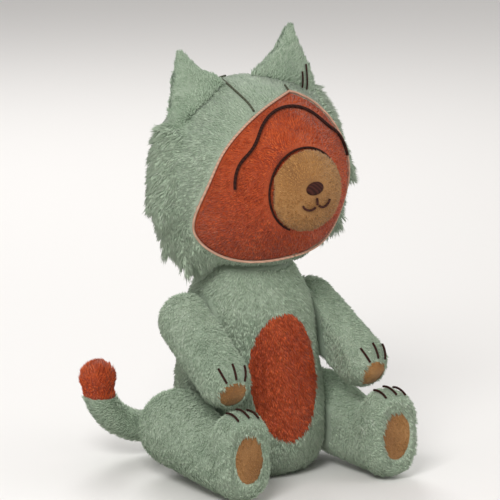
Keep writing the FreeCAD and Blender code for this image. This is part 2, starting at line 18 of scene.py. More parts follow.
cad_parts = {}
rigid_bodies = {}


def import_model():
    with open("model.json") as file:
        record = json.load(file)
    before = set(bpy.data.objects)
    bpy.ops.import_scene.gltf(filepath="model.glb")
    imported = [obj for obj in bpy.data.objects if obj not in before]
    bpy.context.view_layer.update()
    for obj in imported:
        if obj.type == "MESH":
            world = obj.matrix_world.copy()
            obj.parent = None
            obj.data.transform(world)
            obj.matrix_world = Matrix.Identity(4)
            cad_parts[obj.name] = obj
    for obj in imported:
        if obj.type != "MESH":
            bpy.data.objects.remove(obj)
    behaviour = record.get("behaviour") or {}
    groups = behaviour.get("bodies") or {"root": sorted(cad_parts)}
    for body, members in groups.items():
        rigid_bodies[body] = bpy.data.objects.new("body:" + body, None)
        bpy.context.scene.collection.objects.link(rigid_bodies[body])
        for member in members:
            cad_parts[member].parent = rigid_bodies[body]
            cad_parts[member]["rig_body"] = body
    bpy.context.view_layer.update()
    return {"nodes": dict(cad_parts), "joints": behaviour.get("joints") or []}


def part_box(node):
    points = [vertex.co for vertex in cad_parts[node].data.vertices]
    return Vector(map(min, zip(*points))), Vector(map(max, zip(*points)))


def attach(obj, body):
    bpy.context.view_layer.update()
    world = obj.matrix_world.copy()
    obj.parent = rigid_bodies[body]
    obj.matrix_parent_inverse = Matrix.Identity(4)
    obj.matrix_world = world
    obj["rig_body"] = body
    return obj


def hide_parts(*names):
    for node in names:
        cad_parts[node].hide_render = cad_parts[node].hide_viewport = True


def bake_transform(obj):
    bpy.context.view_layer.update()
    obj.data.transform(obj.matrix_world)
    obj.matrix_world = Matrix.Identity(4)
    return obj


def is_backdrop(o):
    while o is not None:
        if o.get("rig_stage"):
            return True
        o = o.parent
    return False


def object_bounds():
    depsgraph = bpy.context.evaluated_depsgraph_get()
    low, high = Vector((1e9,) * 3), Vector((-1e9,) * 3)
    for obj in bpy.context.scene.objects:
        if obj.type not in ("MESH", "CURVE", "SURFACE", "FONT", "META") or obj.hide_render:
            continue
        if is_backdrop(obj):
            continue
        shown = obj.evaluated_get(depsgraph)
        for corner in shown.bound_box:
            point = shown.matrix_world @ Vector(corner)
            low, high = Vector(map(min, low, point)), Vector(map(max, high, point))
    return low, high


MM = 0.001

# Cloth simulation
PRESSURE = 4.0
CLOTH_STEPS = 20
SWELL_CAP = 2.4 * MM
DRAW_IN = 0.9 * MM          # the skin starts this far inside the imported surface
SEAM_HOLD = 2.6 * MM        # cloth this near a seam or thread is pinned
SEAM_DEPTH = 0.15 * MM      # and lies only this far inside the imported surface
FLAT_HOLD = 0.6 * MM        # cloth this near a joint face or the seat stays flat
FLAT_SHARE = 0.3            # and is drawn in by only this share
SEAM_SNAP = 2.6 * MM        # how far a panel's edge may be pulled onto its packed seam

# Pile
PILE_SEED = 7
PILE_LENGTH = 3.4 * MM
PILE_DENSITY = 0.95e6       # strands per square metre
PILE_LEAN = 1.05            # radians from upright
STRAND_R = 0.42 * MM
ROOT_DEPTH = 0.5 * MM       # strands start this far below the cloth
LOCK_SPACING = 3.5 * MM     # strands gather into locks of about this size
LOCK_DENSITY = 0.7e6        # strands per square metre, for counting the strands in one lock
LOCK_PULL = 0.25            # each tip moves this share of the way to the tip of its lock
THREAD_BARE = 0.45 * MM     # no pile this near a line of thread
THREAD_TRIM = 3.6 * MM      # over this much further, pile grows to its full length
THREAD_LENGTH = 0.45        # the share of its length that pile has beside the thread
THREAD_PARTING = 1.3        # how strongly pile beside a thread lies away from it
PANEL_SHARE = 0.15 * MM     # pile may grow this much over the edge of its panel
NEIGHBOUR_BARE = 2.6 * MM   # no pile where another part of the cat lies this close
SWUNG_BARE = 1.6 * MM       # nor where a swinging limb passes this close
NEIGHBOUR_LIFT = 1.5 * MM   # both are measured from this far above the cloth
SWUNG_SHARES = (0.5, 1)     # how far along its swing a limb is tried

# How pile varies over the cat: wave patterns in radians per metre, and random shares
SWAY_SCALE = 260
SWAY_WAVE = 0.45
SWAY_RANDOM = 0.28
FINE_SCALE = 420
LEAN_WAVE = 0.12
LEAN_RANDOM = 0.10
PATCH_SCALE = 70
PATCH_WAVE = 0.55
MOTTLE_WAVE = 0.35
TINT_RANDOM = 0.55
TINT_MIDDLE = 1.9           # where the usual shade falls among the tints
TINT_SPREAD = 0.9
LENGTH_RANGE = (0.75, 1.2)
WIDTH_RANGE = (0.8, 1.2)
WIDTH_LENGTH = 2.5 * MM     # strands of this length have the usual width; others follow their length
WIDTH_LIMITS = (0.6, 1.4)
NOISE_WAVES = 6
NOISE_GAIN = 1.6            # brings the mean of the waves to about -1 to 1

# Ways that pile falls, added to the way that it is combed
HEAD_FALL = (0, 0.35, -0.45)
FACE_FALL = (0, 0.2, -0.35)
MUZZLE_FALL = (0, 0.6, 0)
LIMB_FALL = (0, 0, -0.35)
PAW_FALL = (0, 0, -0.4)
RUFF_FLATTEN = 0.4          # cheek fur points less to the front and back than to the side
RUFF_OUT = 0.75
RUFF_DOWN = 0.9

CAMERA_AZIMUTH = math.radians(-33)
CAMERA_ELEVATION = math.radians(12)
CAMERA_DISTANCE = 3.16
FILL_OF_VIEW = 0.9
WORLD_LIGHT = 0.55
LAMPS = {                   # place, size and power
    "key": ((-1.1, -1.0, 1.3), 0.7, 22),
    "fill": ((1.2, -1.1, 0.7), 1.0, 6),
    "back": ((0.5, 1.3, 1.1), 0.8, 10),
}
FLOOR_HALF = 3.0
FLOOR_COLOUR = (0.82, 0.80, 0.78)

# Linear colours, darkest tint first
PAINTED_BACKING_SHADE = 0.72        # painted shade: the cloth between the strands is darkened by this share, as though shaded by the pile
MINT = [(0.29, 0.38, 0.27), (0.38, 0.47, 0.35), (0.46, 0.55, 0.42), (0.54, 0.61, 0.50)]
# painted shade: the darkest mint, for pile along the edges of the ears
MINT_PAINTED_EDGE_SHADE = (0.17, 0.22, 0.16)
ORANGE = [(0.30, 0.040, 0.012), (0.46, 0.070, 0.018), (0.58, 0.105, 0.028), (0.66, 0.16, 0.05)]
TAN = [(0.27, 0.118, 0.033), (0.39, 0.185, 0.056), (0.49, 0.25, 0.083), (0.57, 0.32, 0.125)]
BROWN_THREAD = (0.030, 0.007, 0.004)
PALE_THREAD = (0.52, 0.31, 0.22)
MINT_THREAD = (0.085, 0.090, 0.058)
NOSE_THREAD = (0.045, 0.012, 0.008)
SEAT_COLOUR = (0.17, 0.25, 0.18)
BAG_COLOUR = (0.69, 0.65, 0.54)
LABEL_COLOUR = (0.78, 0.76, 0.70)
JOINT_COLOUR = (0.79, 0.77, 0.67)
PELLET_COLOUR = (0.75, 0.75, 0.71)
FIBRE = [(0.8, 0.8, 0.75), (0.9, 0.9, 0.87)]
RAMP_LOW = 0.32             # noise below this has the first colour, and above the other the last
RAMP_HIGH = 0.68

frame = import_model()
NODES = frame["nodes"]


# ---- Materials

def new_material(name):
    """A material with its node tree, output and Principled shader."""
    material = bpy.data.materials.new(name)
    material.use_nodes = True
    shader = material.node_tree.nodes["Principled BSDF"]
    return material, material.node_tree, shader


def add_node(tree, kind, **inputs):
    node = tree.nodes.new(kind)
    for socket, value in inputs.items():
        node.inputs[socket.replace("_", " ")].default_value = value
    return node


def colour_noise(tree, place, scale, colours, detail=4.0):
    """Patches between several colours, from object coordinates."""
    noise = add_node(tree, "ShaderNodeTexNoise", Scale=scale, Detail=detail)
    tree.links.new(place, noise.inputs["Vector"])
    ramp = tree.nodes.new("ShaderNodeValToRGB")
    stops = ramp.color_ramp.elements
    stops[0].position = RAMP_LOW
    stops[1].position = RAMP_HIGH
    while len(stops) < len(colours):
        stops.new(0.5)
    for index, colour in enumerate(colours):
        stops[index].position = RAMP_LOW + (RAMP_HIGH - RAMP_LOW) * index / (len(colours) - 1)
        stops[index].color = (*colour, 1)
    tree.links.new(noise.outputs["Fac"], ramp.inputs["Fac"])
    return ramp.outputs["Color"]


def object_place(tree):
    return tree.nodes.new("ShaderNodeTexCoord").outputs["Object"]


def add_bump(tree, shader, height, strength, distance):
    bump = add_node(tree, "ShaderNodeBump", Strength=strength, Distance=distance)
    tree.links.new(height, bump.inputs["Height"])
    tree.links.new(bump.outputs["Normal"], shader.inputs["Normal"])


def cloth_material(name, colours, grain=900.0, patches=30.0):
    """Backing cloth of the pile: patches of tint with a fine knit."""
    material, tree, shader = new_material(name)
    place = object_place(tree)
    tree.links.new(colour_noise(tree, place, patches, colours), shader.inputs["Base Color"])
    knit = add_node(tree, "ShaderNodeTexVoronoi", Scale=grain)
    tree.links.new(place, knit.inputs["Vector"])
    add_bump(tree, shader, knit.outputs["Distance"], 0.6, 0.6 * MM)
    shader.inputs["Roughness"].default_value = 0.95
    shader.inputs["Sheen Weight"].default_value = 0.1
    return material


def pile_material(name, colour, sheen=0.12):
    """One tint of pile: a soft strand that catches light at its edges."""
    material, _, shader = new_material(name)
    shader.inputs["Base Color"].default_value = (*colour, 1)
    shader.inputs["Roughness"].default_value = 0.85
    shader.inputs["Specular IOR Level"].default_value = 0.2
    shader.inputs["Sheen Weight"].default_value = sheen
    shader.inputs["Sheen Roughness"].default_value = 0.4
    return material


def woven_material(name, colour, threads_per_metre=1400.0, sheen=0.1):
    """Plain weave: crossed bands of thread."""
    material, tree, shader = new_material(name)
    place = object_place(tree)
    dark = tuple(c * 0.72 for c in colour)
    tree.links.new(colour_noise(tree, place, 60.0, [dark, colour]), shader.inputs["Base Color"])
    heights = []
    for direction in ("X", "Y"):
        band = add_node(tree, "ShaderNodeTexWave", Scale=threads_per_metre / 6, Distortion=0.4)
        band.bands_direction = direction
        tree.links.new(place, band.inputs["Vector"])
        heights.append(band.outputs["Fac"])
    cross = tree.nodes.new("ShaderNodeMath")
    cross.operation = "MAXIMUM"
    for index, height in enumerate(heights):
        tree.links.new(height, cross.inputs[index])
    add_bump(tree, shader, cross.outputs[0], 0.7, 0.4 * MM)
    shader.inputs["Roughness"].default_value = 0.9
    shader.inputs["Sheen Weight"].default_value = sheen
    return material


def thread_material(name, colour, depth=0.5):
    """Twisted thread: slanting plies with painted shade between them, darker by a share of the colour, and
    a painted highlight along them.
    """
    material, tree, shader = new_material(name)
    place = object_place(tree)
    plies = add_node(tree, "ShaderNodeTexWave", Scale=170.0, Distortion=1.2, Detail=1.0)
    plies.bands_direction = "DIAGONAL"
    tree.links.new(place, plies.inputs["Vector"])
    # painted shade in the grooves between plies, painted highlight on the plies
    ramp = tree.nodes.new("ShaderNodeValToRGB")
    ramp.color_ramp.elements[0].color = (*(c * (1 - depth) for c in colour), 1)
    ramp.color_ramp.elements[1].color = (*(min(1.0, c * (1 + depth / 2)) for c in colour), 1)
    tree.links.new(plies.outputs["Fac"], ramp.inputs["Fac"])
    tree.links.new(ramp.outputs["Color"], shader.inputs["Base Color"])
    add_bump(tree, shader, plies.outputs["Fac"], 0.6, 0.4 * MM)
    shader.inputs["Roughness"].default_value = 0.85
    shader.inputs["Specular IOR Level"].default_value = 0.2
    return material


def moulded_material(name, colour, roughness=0.42):
    """Moulded plastic with faint mottling and a fine surface grain."""
    material, tree, shader = new_material(name)
    place = object_place(tree)
    shade = tuple(c * 0.9 for c in colour)
    tree.links.new(colour_noise(tree, place, 90.0, [shade, colour]), shader.inputs["Base Color"])
    grain = add_node(tree, "ShaderNodeTexNoise", Scale=1500.0, Detail=2.0)
    tree.links.new(place, grain.inputs["Vector"])
    add_bump(tree, shader, grain.outputs["Fac"], 0.2, 0.1 * MM)
    shader.inputs["Roughness"].default_value = roughness
    return material


def darker(colours, share):
    return [tuple(c * share for c in colour) for colour in colours]


# Backing cloth darkened by the painted shade of the pile over it
CLOTH = {
    "mint": cloth_material("mint_backing", darker(MINT[:3], PAINTED_BACKING_SHADE)),
    "orange": cloth_material("orange_backing", darker(ORANGE[:3], PAINTED_BACKING_SHADE)),
    "tan": cloth_material("tan_backing", darker(TAN[:3], PAINTED_BACKING_SHADE)),
}
TINTS = {
    "mint": [pile_material(f"mint_pile_{i}", c) for i, c in enumerate(MINT + [MINT_PAINTED_EDGE_SHADE])],
    "orange": [pile_material(f"orange_pile_{i}", c) for i, c in enumerate(ORANGE)],
    "tan": [pile_material(f"tan_pile_{i}", c) for i, c in enumerate(TAN)],
}
SEAT_CLOTH = woven_material("seat_weave", SEAT_COLOUR)
SLOT_MATERIALS = {
    "joint_plastic": moulded_material("joint_moulding", JOINT_COLOUR),
    "pellets": moulded_material("pellet_moulding", PELLET_COLOUR, roughness=0.5),
    "bag_cloth": woven_material("bag_weave", BAG_COLOUR),
    "filling": cloth_material("fibre_filling", FIBRE, grain=400.0),
    "label_tape": woven_material("label_weave", LABEL_COLOUR, threads_per_metre=2200.0, sheen=0.3),
    "brown_thread": thread_material("brown_twist", BROWN_THREAD),
    "nose_thread": thread_material("nose_satin", NOSE_THREAD),
    "pale_piping": thread_material("pale_piping_twist", PALE_THREAD, depth=0.2),
    "mint_thread": thread_material("mint_twist", MINT_THREAD),
}


# ---- Mesh helpers

def vertex_array(mesh):
    places = np.empty(len(mesh.vertices) * 3)
    mesh.vertices.foreach_get("co", places)
    return places.reshape(-1, 3)


def normal_array(mesh):
    ways = np.empty(len(mesh.vertices) * 3)
    mesh.vertices.foreach_get("normal", ways)
    return ways.reshape(-1, 3)


def set_vertices(mesh, places):
    mesh.vertices.foreach_set("co", np.asarray(places, float).ravel())
    mesh.update()


def shown(name, data):
    """A new object in the scene, from a mesh, curve, light or camera."""
    piece = bpy.data.objects.new(name, data)
    bpy.context.scene.collection.objects.link(piece)
    return piece


def tree_of(names, pieces=()):
    """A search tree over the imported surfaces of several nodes, and over other pieces."""
    builder = bmesh.new()
    for name in names:
        builder.from_mesh(NODES[name].data)
    for piece in pieces:
        builder.from_mesh(piece.data)
    tree = BVHTree.FromBMesh(builder)
    builder.free()
    return tree


def nearest(tree, places):
    """For each place, the nearest point of the tree and how far it is."""
    points = np.empty((len(places), 3))
    gaps = np.empty(len(places))
    for index, place in enumerate(places):
        found = tree.find_nearest(place)
        points[index] = found[0]
        gaps[index] = found[3]
    return points, gaps


def unit(ways):
    return ways / np.maximum(np.linalg.norm(ways, axis=1, keepdims=True), 1e-9)


def box_of(names):
    """The box round several nodes, as two arrays."""
    boxes = [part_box(name) for name in names]
    return np.min([box[0] for box in boxes], axis=0), np.max([box[1] for box in boxes], axis=0)


def middle_of(node):
    low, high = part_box(node)
    return np.array((low + high) / 2)


def smooth_noise(places, scale, seed):
    """A gentle wave pattern over space, mostly from -1 to 1."""
    rng = np.random.default_rng(seed)
    ways = rng.normal(size=(NOISE_WAVES, 3)) * scale
    phases = rng.uniform(0, 2 * math.pi, NOISE_WAVES)
    return np.sin(places @ ways.T + phases).mean(axis=1) * NOISE_GAIN


# ---- Skins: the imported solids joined, remeshed, blown up as cloth

HEAD_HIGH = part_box("head_cover")[1]
HEAD_R = HEAD_HIGH.y
HEAD_CENTRE = np.array((0, 0, HEAD_HIGH.z - HEAD_R))
MUZZLE_MIDDLE = middle_of("muzzle_cover")
MUZZLE_WIDEN = (1.05, 1, 1.05)          # out to the line of stitches round it
HEAD_TILT = np.array(Euler((math.radians(-4), math.radians(-7), 0), "YXZ").to_matrix())
RUFF_TOP = math.radians(35)             # above the side of the head
RUFF_BLEND = 0.02                       # radians that the slope reaches over the ruff's top
RIGHT_FILL_TOP = math.radians(56)
LEFT_FILL_TOP = math.radians(75)        # the far cheek is fuller, right up to the ear
RUFF_HEIGHT = 12 * MM
RUFF_HALF_WIDTH = 15 * MM
RUFF_SLOPE = 1.5                        # above 1 the slope starts gently below the ear
EAR_UNDERSIDE = -0.3        # faces that look this squarely at the head are an ear's underside
EAR_ROOT_REACH = 12 * MM
EAR_ROOT_DEPTH = 6 * MM
EAR_ROOT_SINK = 4 * MM      # the edge of the root dips this far towards the head
EAR_FLARE_FRONT = (7 * MM, 19 * MM)     # how far the root spreads, starting how high above the head
EAR_FLARE_SIDE = (8 * MM, 24 * MM)
EAR_SHADE_EDGE_LOW = 14 * MM      # painted shade along the edge of an ear starts this far up it
EAR_SHADE_EDGE_FACING = 0.16      # and is where the ear faces forward or back by less than this

THREADS = [name for name in NODES if name.endswith(("stitch", "stitches", "piping"))]
THREAD_TREE = tree_of(THREADS + ["nose_patch"])


def above_head(places):
    """How far each place stands outside the round of the head."""
    return np.linalg.norm(places - HEAD_CENTRE, axis=1) - HEAD_R


def remeshed(name, nodes, voxel):
    """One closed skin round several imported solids, held inside the box of their covers, then reshaped."""
    covers = [node for node in nodes if not node.endswith("disc")]
    low, high = box_of(covers)
    builder = bmesh.new()
    for node in nodes:
        builder.from_mesh(NODES[node].data)
    for vertex in builder.verts:
        vertex.co = Vector(np.clip(vertex.co, low, high))
    mesh = bpy.data.meshes.new(name + "_rough")
    builder.to_mesh(mesh)
    builder.free()
    rough = shown(name + "_rough", mesh)
    remesh = rough.modifiers.new("Remesh", "REMESH")
    remesh.mode = "VOXEL"
    remesh.voxel_size = voxel
    skin = shown(name, mesh_after_modifiers(rough))
    bpy.data.objects.remove(rough)
    if name.startswith("ear"):
        root_ear(skin.data, nodes[0])
    if name == "head":
        fill_over_ruffs(skin.data)
    if name == "muzzle":
        widen_muzzle(skin.data)
    skin["low"] = list(low)
    skin["high"] = list(high)
    return skin


def widen_muzzle(mesh):
    """Bring the muzzle out to the line of stitches round it."""
    set_vertices(mesh, MUZZLE_MIDDLE + (vertex_array(mesh) - MUZZLE_MIDDLE) * MUZZLE_WIDEN)


def root_ear(mesh, ear_cover):
    """Flare the root of an ear and carry its underside into the head, leaving no gap under it."""
    places = vertex_array(mesh)
    reach = np.linalg.norm(places - HEAD_CENTRE, axis=1)
    out = unit(places - HEAD_CENTRE)
    facing = (normal_array(mesh) * out).sum(axis=1)
    under = (facing < EAR_UNDERSIDE) & (reach < HEAD_R + EAR_ROOT_REACH)
    axis = unit((middle_of(ear_cover) - HEAD_CENTRE)[None])[0]
    aside = unit(places - HEAD_CENTRE - ((places - HEAD_CENTRE) @ axis)[:, None] * axis)
    forward = np.outer(aside[:, 1], (0, 1, 0))
    for way, (flare, rise) in ((forward, EAR_FLARE_FRONT), (aside - forward, EAR_FLARE_SIDE)):
        spread = np.clip(1 - (reach - HEAD_R) / rise, 0, 1) ** 2
        places += way * (flare * spread)[:, None]
    out = unit(places - HEAD_CENTRE)
    places = HEAD_CENTRE + out * (reach - EAR_ROOT_SINK * spread)[:, None]
    places[under] = HEAD_CENTRE + out[under] * (HEAD_R - EAR_ROOT_DEPTH)
    set_vertices(mesh, places)


def fill_over_ruffs(mesh):
    """Slope the head out from below each ear to the top of its cheek ruff."""
    places = vertex_array(mesh)
    upright = (places - HEAD_CENTRE) @ HEAD_TILT
    across = np.hypot(upright[:, 0], upright[:, 2])
    turn = np.arctan2(upright[:, 2], np.abs(upright[:, 0]))
    thick = RUFF_HEIGHT * np.clip(1 - (upright[:, 1] / RUFF_HALF_WIDTH) ** 2, 0, 1)
    top = np.where(upright[:, 0] > 0, LEFT_FILL_TOP, RIGHT_FILL_TOP)
    share = np.clip((top - turn) / (top - RUFF_TOP), 0, 1) ** RUFF_SLOPE
    wanted = np.sqrt(np.clip(HEAD_R ** 2 - upright[:, 1] ** 2, 0, None)) + thick * share
    grow = np.where((turn > RUFF_TOP - RUFF_BLEND) & (across < wanted), wanted / across, 1)
    upright[:, 0] *= grow
    upright[:, 2] *= grow
    set_vertices(mesh, upright @ HEAD_TILT.T + HEAD_CENTRE)


def mesh_after_modifiers(piece):
    evaluated = piece.evaluated_get(bpy.context.evaluated_depsgraph_get())
    return bpy.data.meshes.new_from_object(evaluated)


def seam_gap(places, cover_nodes, panel_nodes):
    """How far each place is from the nearest seam between panels or line of thread."""
    _, gap = nearest(THREAD_TREE, places)
    owners = [nearest(tree_of(cover_nodes), places)[1]]
    owners += [nearest(tree_of([panel]), places)[1] for panel in panel_nodes]
    if len(owners) > 1:
        ordered = np.sort(np.array(owners), axis=0)
        gap = np.minimum(gap, ordered[1])
    return gap


def prepare_cloth(skin, flat_sides, cover_nodes, panel_nodes, draw_in=DRAW_IN):
    """Draw the skin in, sink its seams and give it a Cloth modifier pinned along them."""
    mesh = skin.data
    places = vertex_array(mesh)
    low, high = np.array(skin["low"]), np.array(skin["high"])
    on_flat = np.zeros(len(places), bool)
    for axis, side in flat_sides:
        edge = high[axis] if side > 0 else low[axis]
        on_flat |= np.abs(places[:, axis] - edge) < FLAT_HOLD
    gap = seam_gap(places, cover_nodes, panel_nodes)
    near_seam = np.clip(1 - gap / SEAM_HOLD, 0, 1)
    depth = np.where(on_flat, FLAT_SHARE * DRAW_IN, draw_in + (SEAM_DEPTH - draw_in) * near_seam)
    places = places - normal_array(mesh) * depth[:, None]
    set_vertices(mesh, places)
    pins = skin.vertex_groups.new(name="pins")
    for index, held in enumerate(np.where(on_flat, 1.0, near_seam ** 0.5)):
        pins.add([index], float(held), "REPLACE")
    cloth = skin.modifiers.new("Cloth", "CLOTH")
    cloth.settings.use_pressure = True
    cloth.settings.uniform_pressure_force = PRESSURE
    cloth.settings.effector_weights.gravity = 0
    cloth.settings.vertex_group_mass = "pins"
    cloth.settings.quality = 5
    cloth.settings.tension_stiffness = 12
    cloth.settings.bending_stiffness = 1
    cloth.point_cache.frame_start = 1
    cloth.point_cache.frame_end = CLOTH_STEPS
    return places


def finish_cloth(skin, start):
    """Apply the simulation with its movement capped, then subdivide once."""
    moved = vertex_array(mesh_after_modifiers(skin))
    shift = moved - start
    size = np.linalg.norm(shift, axis=1, keepdims=True)
    shift *= np.minimum(1, SWELL_CAP / np.maximum(size, 1e-9))
    skin.modifiers.clear()
    places = start + shift
    places[:, 2] = np.maximum(places[:, 2], skin["low"][2])
    set_vertices(skin.data, places)
    skin.vertex_groups.clear()
    subdivide = skin.modifiers.new("Subdivide", "SUBSURF")
    subdivide.levels = 1
    final = mesh_after_modifiers(skin)
    skin.modifiers.clear()
    skin.data = final


def split_panels(skin, pieces):
    """Cut a skin along its seams.  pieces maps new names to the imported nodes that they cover."""
    places = vertex_array(skin.data)
    names = list(pieces)
    found = [nearest(tree_of(pieces[name]), places) for name in names]
    points = np.array([points for points, _ in found])
    gaps = np.array([gap for _, gap in found])
    faces = np.array([list(face.vertices) for face in skin.data.polygons])
    owner = gaps[:, faces].mean(axis=2).argmin(axis=0)
    touching = [set() for _ in places]
    for face, name_index in zip(faces, owner):
        for vertex in face:
            touching[vertex].add(int(name_index))
    for vertex, owners in enumerate(touching):
        if len(owners) == 2:
            a, b = sorted(owners, key=lambda index: gaps[index][vertex])
            shift = points[b][vertex] - points[a][vertex]
            reach = np.linalg.norm(shift)
            places[vertex] += shift * min(1, SEAM_SNAP / max(reach, 1e-9))
    made = {}
    for index, name in enumerate(names):
        mine = faces[owner == index]
        used, compact = np.unique(mine, return_inverse=True)
        mesh = bpy.data.meshes.new(name)
        mesh.from_pydata(places[used].tolist(), [], compact.reshape(mine.shape).tolist())
        mesh.update()
        made[name] = shown(name, mesh)
    bpy.data.objects.remove(skin)
    return made


def dress(piece, body, material, replaced):
    """Give a skin its cloth, its body if it has just one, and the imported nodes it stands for."""
    piece.data.materials.clear()
    piece.data.materials.append(material)
    for face in piece.data.polygons:
        face.use_smooth = True
    if body:
        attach(piece, body)
    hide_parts(*replaced)


# ---- Pile

def scattered(mesh, density, rng):
    """Random places over a mesh, with their normals."""
    mesh.calc_loop_triangles()
    corners = np.empty(len(mesh.loop_triangles) * 3, np.int64)
    mesh.loop_triangles.foreach_get("vertices", corners)
    corners = corners.reshape(-1, 3)
    places, normals = vertex_array(mesh), normal_array(mesh)
    a, b, c = (places[corners[:, i]] for i in range(3))
    areas = np.linalg.norm(np.cross(b - a, c - a), axis=1) / 2
    count = int(areas.sum() * density)
    chosen = rng.choice(len(areas), count, p=areas / areas.sum())
    u = rng.random(count)
    v = rng.random(count)
    over = u + v > 1
    u[over] = 1 - u[over]
    v[over] = 1 - v[over]
    weights = np.stack([1 - u - v, u, v], axis=1)[:, :, None]
    spots = (places[corners[chosen]] * weights).sum(axis=1)
    ways = unit((normals[corners[chosen]] * weights).sum(axis=1))
    return spots, ways


def spikes(name, roots, normals, ways, lengths, widths, tint, materials):
    """One mesh of closed three-sided spikes; none goes below the seat."""
    side = unit(np.cross(normals, ways) + 1e-6)
    other = np.cross(ways, side)
    corners = []
    for turn in (0, 2 * math.pi / 3, 4 * math.pi / 3):
        out = side * math.cos(turn) + other * math.sin(turn)
        corners.append(roots + out * widths[:, None])
    tips = roots + ways * lengths[:, None]
    places = np.stack(corners + [tips], axis=1).reshape(-1, 3)
    places[:, 2] = np.maximum(places[:, 2], 0)
    base = np.arange(len(roots))[:, None, None] * 4
    pattern = np.array([[0, 1, 3], [1, 2, 3], [2, 0, 3], [0, 2, 1]])
    faces = (base + pattern).reshape(-1, 3)
    mesh = bpy.data.meshes.new(name)
    mesh.vertices.add(len(places))
    mesh.vertices.foreach_set("co", places.ravel())
    mesh.loops.add(faces.size)
    mesh.loops.foreach_set("vertex_index", faces.ravel())
    mesh.polygons.add(len(faces))
    mesh.polygons.foreach_set("loop_start", np.arange(len(faces)) * 3)
    mesh.polygons.foreach_set("material_index", np.repeat(tint, 4))
    mesh.update(calc_edges=True)
    for material in materials:
        mesh.materials.append(material)
    return shown(name, mesh)


def drawn_together(roots, ways, lengths, spacing, pull, rng):
    """Lean each strand's tip towards the tip of the lock it belongs to."""
    in_one_lock = max(1, int(spacing ** 2 * LOCK_DENSITY))
    chosen = rng.permutation(len(roots))[:max(1, len(roots) // in_one_lock)]
    lock_tree = KDTree(len(chosen))
    for index, strand in enumerate(chosen):
        lock_tree.insert(roots[strand], index)
    lock_tree.balance()
    lock = np.array([lock_tree.find(root)[1] for root in roots])
    tips = roots + ways * lengths[:, None]
    lock_tips = tips[chosen][lock]
    return unit(tips + (lock_tips - tips) * pull - roots)


def free_roots(skin, density, own, others, avoid, rng):
    """Random roots over a skin, less those at a thread, past the panel's edge or by another part."""
    roots, normals = scattered(skin.data, density, rng)
    thread_points, thread_gap = nearest(THREAD_TREE, roots)
    keep = thread_gap > THREAD_BARE
    if others is not None:
        keep &= nearest(own, roots)[1] <= nearest(others, roots)[1] + PANEL_SHARE
    for tree, bare in avoid:
        keep &= nearest(tree, roots + normals * NEIGHBOUR_LIFT)[1] > bare
    freedom = np.clip((thread_gap[keep] - THREAD_BARE) / THREAD_TRIM, 0, 1)
    return roots[keep], normals[keep], freedom, (roots - thread_points)[keep]


def combed(roots, normals, comb, freedom, parting, lean, seed, rng):
    """The way each strand points: along the comb, away from threads, swaying, and leant over."""
    free = freedom[:, None]
    flow = unit(comb(roots)) * free + unit(parting) * THREAD_PARTING * (1 - free)
    flow = unit(flow - normals * (flow * normals).sum(axis=1, keepdims=True))
    sway = smooth_noise(roots, SWAY_SCALE, seed)[:, None] * SWAY_WAVE
    sway = sway + rng.normal(0, SWAY_RANDOM, (len(roots), 1))
    flow = unit(flow + np.cross(normals, flow) * sway)
    tilt = lean + rng.normal(0, LEAN_RANDOM, (len(roots), 1))
    tilt = tilt + LEAN_WAVE * smooth_noise(roots, FINE_SCALE, seed + 1)[:, None]
    return unit(normals * np.cos(tilt) + flow * np.sin(tilt))


def chosen_tints(roots, painted_shade_shift, rng):
    """The tint of each strand, in soft patches with single strands that differ."""
    patches = PATCH_WAVE * smooth_noise(roots, PATCH_SCALE, 3)
    patches = patches + MOTTLE_WAVE * smooth_noise(roots, FINE_SCALE, 4)
    shade = painted_shade_shift + patches + rng.normal(0, TINT_RANDOM, len(roots))
    return np.clip(np.floor(TINT_MIDDLE + shade * TINT_SPREAD), 0, 3).astype(np.int32)


def grow_pile(skin, colour, comb, body, seed, own, others, avoid, length=PILE_LENGTH,
              density=PILE_DENSITY, lean=PILE_LEAN, painted_shade_shift=0.0, painted_edge_shade=None, length_of=None,
              clump=LOCK_SPACING, pull=LOCK_PULL):
    """Comb short pile over a skin; comb gives the direction that it lies in at each place."""
    rng = np.random.default_rng(PILE_SEED + seed)
    roots, normals, freedom, parting = free_roots(skin, density, own, others, avoid, rng)
    ways = combed(roots, normals, comb, freedom, parting, lean, seed, rng)
    lengths = length * rng.uniform(*LENGTH_RANGE, len(roots))
    lengths *= THREAD_LENGTH + (1 - THREAD_LENGTH) * freedom
    if length_of is not None:
        lengths *= length_of(roots)
    tint = chosen_tints(roots, painted_shade_shift, rng)
    # painted shade: strands on the edge mask take the last and darkest tint
    if painted_edge_shade is not None:
        tint[painted_edge_shade(roots, normals)] = len(TINTS[colour]) - 1
    widths = STRAND_R * rng.uniform(*WIDTH_RANGE, len(roots))
    widths *= np.clip(lengths / WIDTH_LENGTH, *WIDTH_LIMITS)
    ways = drawn_together(roots, ways, lengths, clump, pull, rng)
    starts = roots - normals * ROOT_DEPTH
    name = skin.name.replace("_skin", "") + "_pile"
    pile = spikes(name, starts, normals, ways, lengths + ROOT_DEPTH, widths, tint, TINTS[colour])
    if body:
        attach(pile, body)
    return pile


def straight(way):
    """A comb that lies the same way everywhere."""
    return lambda places: np.tile(np.array(way, float), (len(places), 1))


def away_from(centre, pull=(0, 0, 0)):
    """A comb that fans out from a point, with a steady pull added."""
    return lambda places: unit(places - np.array(centre)) + np.array(pull)


# ---- The parts of the cat: what each skin is made from

RUFFS = ["cheek_ruff_left", "cheek_ruff_right"]
ALL_COVERS = [name for name in NODES if name.endswith(("cover", "panel", "pad")) or name in RUFFS]

JOINT_STEMS = ["neck", "shoulder_left", "shoulder_right", "hip_left", "hip_right", "tail"]
BODY_FILL = ["body_stuffing", "pellet_bag", "pellet_fill"]
BODY_FILL += ["neck_washer", "shoulder_washers", "hip_washers", "tail_washer"]
BODY_FILL += [f"{stem}_{part}" for part in ("lock_ring", "disc") for stem in JOINT_STEMS]

